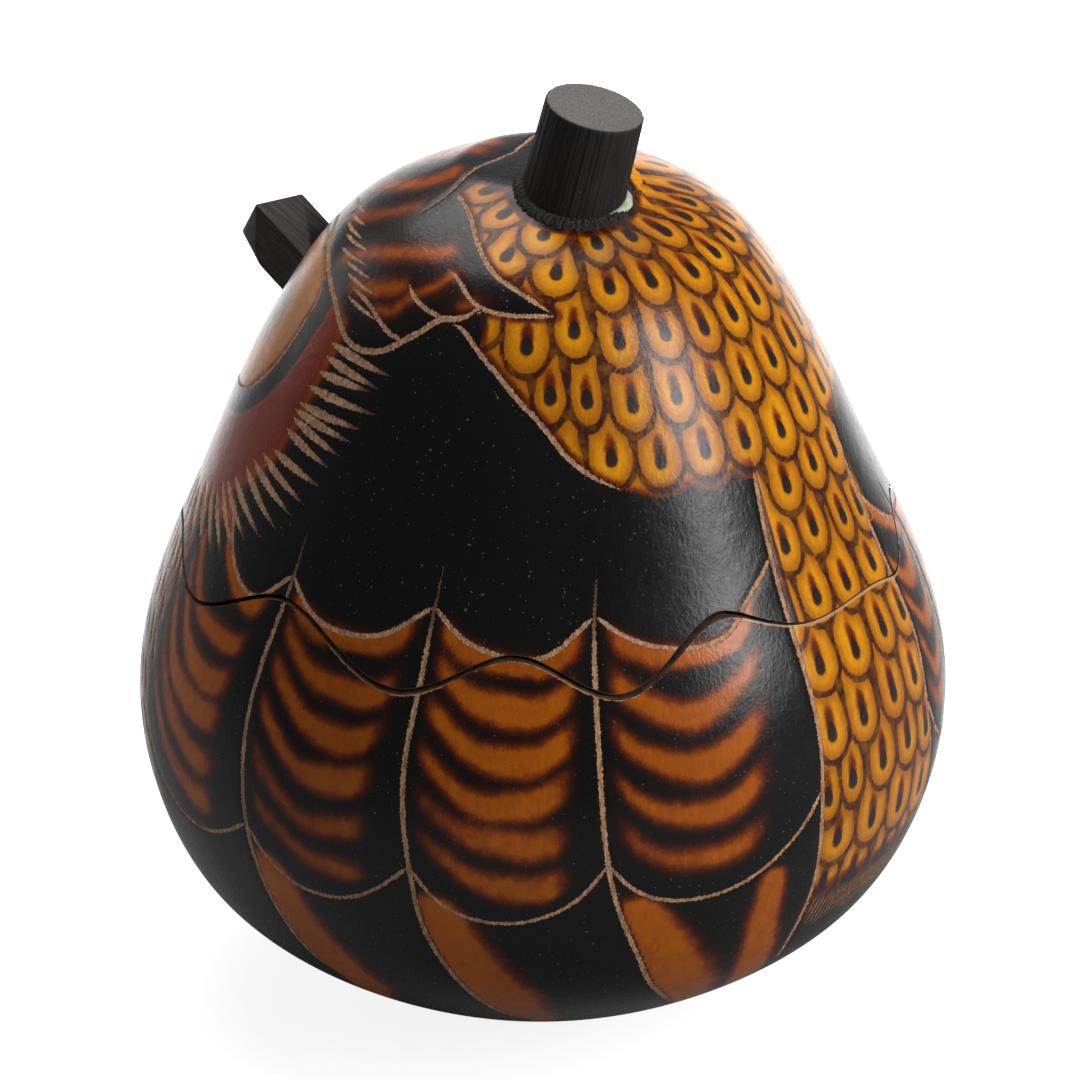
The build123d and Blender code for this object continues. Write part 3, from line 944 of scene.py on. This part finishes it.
def head_fields(points, turn, up):
    """The pattern of the head over that of the sides: eyes, smoky streaks and the yellow cap."""
    fields = side_fields(points, turn, up)
    stain, char = fields["stain"], fields["char"]
    folded = np.where([True, False, False], np.abs(points), points)
    left = np.where(turn > 180, 360 - turn, turn)
    for path, half in streaks:
        gap = np.abs(nearest(folded, on_skin(spline(path, 20)))[0])
        char = np.minimum(char, 1 - 0.42 * ease(gap, 2.2 * half, 0) - 0.34 * ease(gap, 4.6, 0.4))
    red, iris_gap, pupil_gap = (outside(folded, left, up, shape) for shape in (eye_field, iris, pupil))
    in_iris = iris_gap < 0
    char = np.minimum(char, 1 - ease(red, 2.6, -0.8) * ease(iris_gap, 2.6, 4.0))
    char = np.where(in_iris, 0.3 * ease(iris_gap, -1.6, 0) * (pupil_gap > 0), char)
    stain = shade(stain, colour(126, 50, 30), ease(red, 4, 3))
    stain = shade(stain, colour(172, 112, 48), in_iris)
    stain = shade(stain, colour(96, 90, 86), ease(pupil_gap, 0.2, -0.2))
    mark = np.where(in_iris, np.abs(pupil_gap + 0.1) - 0.06, fields["mark"])

    # The cap runs on into the band. It is smoky at its lower end beside it, singed at its sides, and black
    # round the stem
    cap_gap = outside(points, turn, up, yellow)
    in_cap = cap_gap < 0
    drawn = in_cap | (between(band_left, band_right, turn, up) & (up < 46))
    edge, eye, smoke = scale_fields(points, cap_rows + band_rows, stem_foot, 3.8, 1.25)
    soft = ease(up, 48, 45.3) * ((turn < 167.5) | (turn > 197)) * (turn > 138) * (turn < 222)
    singed = 0.62 * ease(cap_gap, -1.5, -0.1) * in_cap * (up > 46.5)
    stem_black = ease(np.linalg.norm(np.cross(points - stem_foot, stem_axis), axis=1), 8.7, 7.2)
    blacks = [soft * 0.8, singed, stem_black, 0.5 * ease(smoke, 0.5, -0.5)]
    stain[drawn] = band_yellow
    char = np.where(drawn, np.max(blacks, 0), char)
    mark = np.where(drawn, edge - outline_width, mark)
    eye = np.where(drawn, np.where(stem_black > 0.6, far_off, eye), fields["eye"])
    return {"stain": stain, "char": char, "mark": mark, "eye": eye}


points, turn, up, skin = places(carved_lid)
above = points[:, 2] - seam_height(turn) - seam_gap(turn) / 2
dress(carved_lid, skin, np.abs(above) < edge_slack)
points, turn, up, above = points[skin], turn[skin], up[skin], above[skin]
carve(
    carved_lid,
    skin,
    lumpy(points),
    [
        long_gouges + face_lines,
        arc_gouges[::2] + face_arcs,
        arc_gouges[1::2] + down_strokes[::2] + both_sides(face_strokes[::2]),
        down_strokes[1::2] + both_sides(face_strokes[1::2]),
    ],
    **head_fields(points, turn, up),
    lip=above + 0.15,
    fringe=0 * points,
)
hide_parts("gourd_lid")
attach(carved_lid, "lid")

# Stem: a length of round stick stained black, glued in behind the crown. Its side keeps the stick's fine
# grain, and its sawn end is grey and rough.
stem_out = 10.9
stem_in = 7.6
stem_top_radius = 6.0
stem_edge = 0.3
turns = np.radians(np.linspace(0, 360, 361)[:-1])
circle = np.stack([np.cos(turns), np.sin(turns)], 1)
stem_across = np.array(Vector(stem_axis).orthogonal().normalized())
stem_side = circle @ np.stack([stem_across, np.cross(stem_axis, stem_across)])


def stem_ring(reach, along):
    """A ring round the stem's axis, its points this far out from the axis and this far along it."""
    return stem_foot + np.reshape(reach, (-1, 1)) * stem_side + np.reshape(along, (-1, 1)) * stem_axis


# The stem's outline, from its end inside to its sawn top: radius, place along, and share of the ridges
profile = [(r, -stem_in, 0) for r in (1.5, 3, 4.5)]
profile += [(stem_foot_radius - stem_edge, -stem_in, 0), (stem_foot_radius, stem_edge - stem_in, 0)]
profile += [(stem_foot_radius, -2.0, 0), (stem_foot_radius, -0.8, 0.6)]
profile += [
    (stem_foot_radius + (stem_top_radius - stem_foot_radius) * s, (stem_out - stem_edge) * s, 1)
    for s in np.linspace(0, 1, 24)
]
profile += [(stem_top_radius - 0.1, stem_out - 0.09, 0.8), (stem_top_radius - stem_edge, stem_out, 0.5)]
profile += [(r, stem_out, 0) for r in (5.4, 4.5, 3.2, 1.6)]
ridges = sum(np.sin(turns * count + shift) for count, shift in ((41, 0), (67, 2), (97, 4), (23, 1))) / 4
rings = [stem_ring(radius + 0.1 * ridged * ridges, along) for radius, along, ridged in profile]
ends = [stem_foot - stem_in * stem_axis, stem_foot + stem_out * stem_axis]
stem_stick = closed_mesh("stem_stick", rings, ends)
grain = [np.column_stack([radius * circle, np.full(len(circle), along)]) for radius, along, _ in profile]
leave(stem_stick, "grain", np.concatenate([[(0, 0, -stem_in)], *grain, [(0, 0, stem_out)]]))
smooth(stem_stick, 50)


def black_wood(name, dark, light):
    """Wood stained black: streaks of two tones along its grain, worn patches, specks and a grey sawn end."""
    material, shader, wire = new_material(name, IOR=1.45)
    along = wire.field("grain", 1)
    streak = along.noise(2.4, 4.0, (1, 1, 0.06))
    fine = along.noise(9, 3.0, (1, 1, 0.05))
    worn = along.noise(0.35, 3.0, (1, 1, 0.6))
    speckle = along.noise(3.5, 4.0)
    base = streak.rise(0.35, 0.7).blend(dark, light)
    base = (worn.rise(0.55, 0.75) * 0.4).blend(base, colour(46, 32, 24))
    cut_end = (fine * 0.6 + speckle * 0.6).rise(0.4, 0.8).blend(colour(64, 62, 61), colour(108, 105, 102))
    base = along.parts()[2].rise(stem_out - 0.15, stem_out - 0.02).blend(base, cut_end)
    speck = along.noise(4.2, 1.0).rise(0.72, 0.77)
    base = (speck * 0.4).blend(base, colour(130, 122, 110))
    finish(material, shader, base, 0.55 + streak * 0.25, streak * 0.06 + fine * 0.05)
    return material


stem_stick.data.materials.append(black_wood("black_stained_stick", colour(10, 10, 11), colour(30, 27, 26)))
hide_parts("stem_peg")
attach(stem_stick, "lid")

# Glue round the stem: it fills the drilled hole, and a dark crumbly bead of it stands at the stem's foot,
# with a pale clean crescent on the side towards the nape. The bead is given by how far out and how high.
inner = stem_foot_radius - 0.02
outer = stem_hole_radius - 0.01
glue_end = -wall - 0.15
bead = [(1.1, -0.15), (1.05, 0.1), (0.92, 0.36), (0.7, 0.6), (0.42, 0.76), (0.18, 0.82), (0.0, 0.8)]


def skin_level(reach):
    """How far along the stem's axis the gourd's skin lies, all round it at this distance from it."""
    flat = stem_ring(reach, 0)
    level = np.zeros(len(flat))
    for _ in range(12):
        spot = flat + level[:, None] * stem_axis
        skin = np.interp(np.hypot(spot[:, 0], spot[:, 1]), crown_radius, crown_height)
        level += (skin - spot[:, 2]) * stem_axis[2]
    return level


glue_round = np.degrees(np.arctan2(stem_side[:, 0], -stem_side[:, 1])) % 360
crumb = 0.06 * np.sin(37 * turns) + 0.05 * np.sin(61 * turns + 2) + 0.04 * np.sin(89 * turns + 1)
pale_width = 1.05 * ease(glue_round, 152, 205) * ease(glue_round, 222, 210)
glue_outline = [(inner, glue_end), (outer, glue_end), (outer, skin_level(stem_hole_radius) - 0.25)]
for out, rise in bead:
    reach = inner + out * (1 + crumb)
    glue_outline.append((reach, skin_level(reach) + rise * (1 + 0.6 * np.roll(crumb, 7))))
stem_glue_bead = closed_mesh("stem_glue_bead", [stem_ring(*spot) for spot in glue_outline])
pale = [ease(pale_width - (reach - inner), -0.12, 0.12) for reach, _ in glue_outline]
leave(stem_glue_bead, "pale", np.concatenate(pale))
smooth(stem_glue_bead, 180)

dried_glue, shader, wire = new_material("dried_wood_glue", IOR=1.45)
here = wire.here()
milk = here.noise(700, 3.0)
dust = here.noise(3600, 3.0)
base = dust.rise(0.4, 0.7).blend(colour(20, 19, 18), colour(66, 62, 55))
clean = (wire.field("pale") + (milk - 0.5) * 0.5).rise(0.35, 0.65)
base = clean.blend(base, milk.rise(0.3, 0.7).blend(colour(140, 150, 128), colour(196, 206, 182)))
finish(dried_glue, shader, base, 0.85 - clean * 0.4, dust * 0.35 * (1 - clean) + milk * 0.2)
stem_glue_bead.data.materials.append(dried_glue)
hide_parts("stem_glue")
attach(stem_glue_bead, "lid")

# Beak: a short peg of the same black wood, whittled with a knife to a square head with a bevelled end, and
# glued into its drilled hole by a round tenon.
whittled = bmesh.new()
whittled.from_mesh(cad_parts["beak_peg"].data)
bmesh.ops.remove_doubles(whittled, verts=whittled.verts, dist=0.002 * MM)
bmesh.ops.dissolve_limit(whittled, angle_limit=radians(1.5), verts=whittled.verts, edges=whittled.edges)
edges = [e for e in whittled.edges if len(e.link_faces) == 2 and e.calc_face_angle() > radians(25)]
edges = [e for e in edges if all((np.array(v.co) / MM - beak_foot) @ beak_axis > 1.0 for v in e.verts)]
bmesh.ops.bevel(
    whittled, geom=edges, offset=0.16 * MM, offset_type="OFFSET", segments=2, profile=0.6, affect="EDGES"
)
mesh = bpy.data.meshes.new("beak_block")
whittled.to_mesh(mesh)
whittled.free()
beak_block = new_piece("beak_block", mesh)
beak_across = np.array([1.0, 0, 0])
beak_ways = np.stack([beak_across, np.cross(beak_axis, beak_across), beak_axis], 1)
leave(beak_block, "grain", (np.array([v.co for v in mesh.vertices]) / MM - beak_foot) @ beak_ways)
mesh.set_sharp_from_angle(angle=radians(35))
mesh.materials.append(black_wood("black_whittled_wood", colour(24, 22, 22), colour(64, 60, 58)))
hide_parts("beak_peg")
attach(beak_block, "lid")

beak_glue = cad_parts["beak_glue"]
for material_slot in beak_glue.material_slots:
    material_slot.material = dried_glue

# Studio: a white table just below the foot, and soft white lamps: one at the camera's right hand, a big one
# above and behind, and a weak one at the left.
table_half = 3
table_level = -0.02 * MM
floor_mesh = bpy.data.meshes.new("table_top")
corners = [(x * table_half, y * table_half, table_level) for x, y in ((-1, -1), (1, -1), (1, 1), (-1, 1))]
floor_mesh.from_pydata(corners, [], [(0, 1, 2, 3)])
table_top = new_piece("table_top", floor_mesh)
white_table, shader, wire = new_material(
    "white_table",
    Base_Color=colour(156, 156, 156),
    Roughness=0.9,
    Specular_IOR_Level=0.2,
    Emission_Strength=1.0,
)
floor_mesh.materials.append(white_table)

view_angle = 123.5
view_rise = 26
view_distance = 0.7
level_toward = heading(view_angle)
toward = level_toward * cos(radians(view_rise)) + (0, 0, sin(radians(view_rise)))
rightward = heading(view_angle + 90)
aim = (0, 0, 59.17 * MM)

# The room is dim on the camera's side. Behind the object the wall and the table are a bright white sheet,
# whose light grazes the object's sides: the world is bright there, and the table glows there as painted
# light, though it is no lamp.
world = bpy.data.worlds.new("studio")
world.use_nodes = True
scene.world = world
sky = Wire(world.node_tree)
wall_light = sky.node("TexCoord", {}).dot(-toward).rise(0.72, 0.96) * 2.0 + 0.18
level = wall_light.larger(sky.node("LightPath", {}))
background = world.node_tree.nodes["Background"]
background.inputs["Color"].default_value = (1, 1, 1, 1)
world.node_tree.links.new(level.socket, background.inputs["Strength"])

# Painted light: the table glows behind the object as a bright sheet, and a little everywhere for camera rays
sheet_start = 60 * MM
spot = wire.here()
direction = wire.node("VectorMath", {0: spot, 1: level_toward * sheet_start}, operation="SUBTRACT")
direction = wire.node("VectorMath", {0: direction}, operation="NORMALIZE")
sheet = direction.dot(-level_toward).rise(0.8, 0.92) * spot.dot(-level_toward).rise(0, sheet_start)
sheet = sheet.larger(wire.node("LightPath", {}) * 0.48)
glow = sheet.blend((0, 0, 0, 1), (1.8, 1.8, 1.8, 1))
white_table.node_tree.links.new(glow.socket, shader.inputs["Emission Color"])


def place(name, data, offset):
    """Puts a lamp or a camera at an offset from the point it looks at."""
    holder = new_piece(name, data)
    holder.location = aim + offset
    holder.rotation_euler = Vector(offset).to_track_quat("Z", "Y").to_euler()
    return holder


def lamp(name, right, front, rise, size, power):
    """A soft lamp, so many metres to the camera's right, in front of and above the object."""
    light = bpy.data.lights.new(name, "AREA")
    light.shape = "RECTANGLE"
    light.size, light.size_y = size
    light.energy = power
    place(name, light, rightward * right + level_toward * front + (0, 0, rise))


lamp("lamp_right", 0.70, 0.36, 0.42, (0.27, 0.55), 7.0)
lamp("lamp_top", -0.1, -0.45, 0.9, (0.8, 0.8), 9.4)
lamp("lamp_left", -0.8, -0.55, 0.35, (0.4, 0.6), 1.0)

camera_data = bpy.data.cameras.new("camera")
camera_data.lens = 185.97
camera_data.sensor_width = 36
camera_data.shift_x = -1 / 1080
scene.camera = place("camera", camera_data, toward * view_distance)
scene.view_settings.view_transform = "Standard"
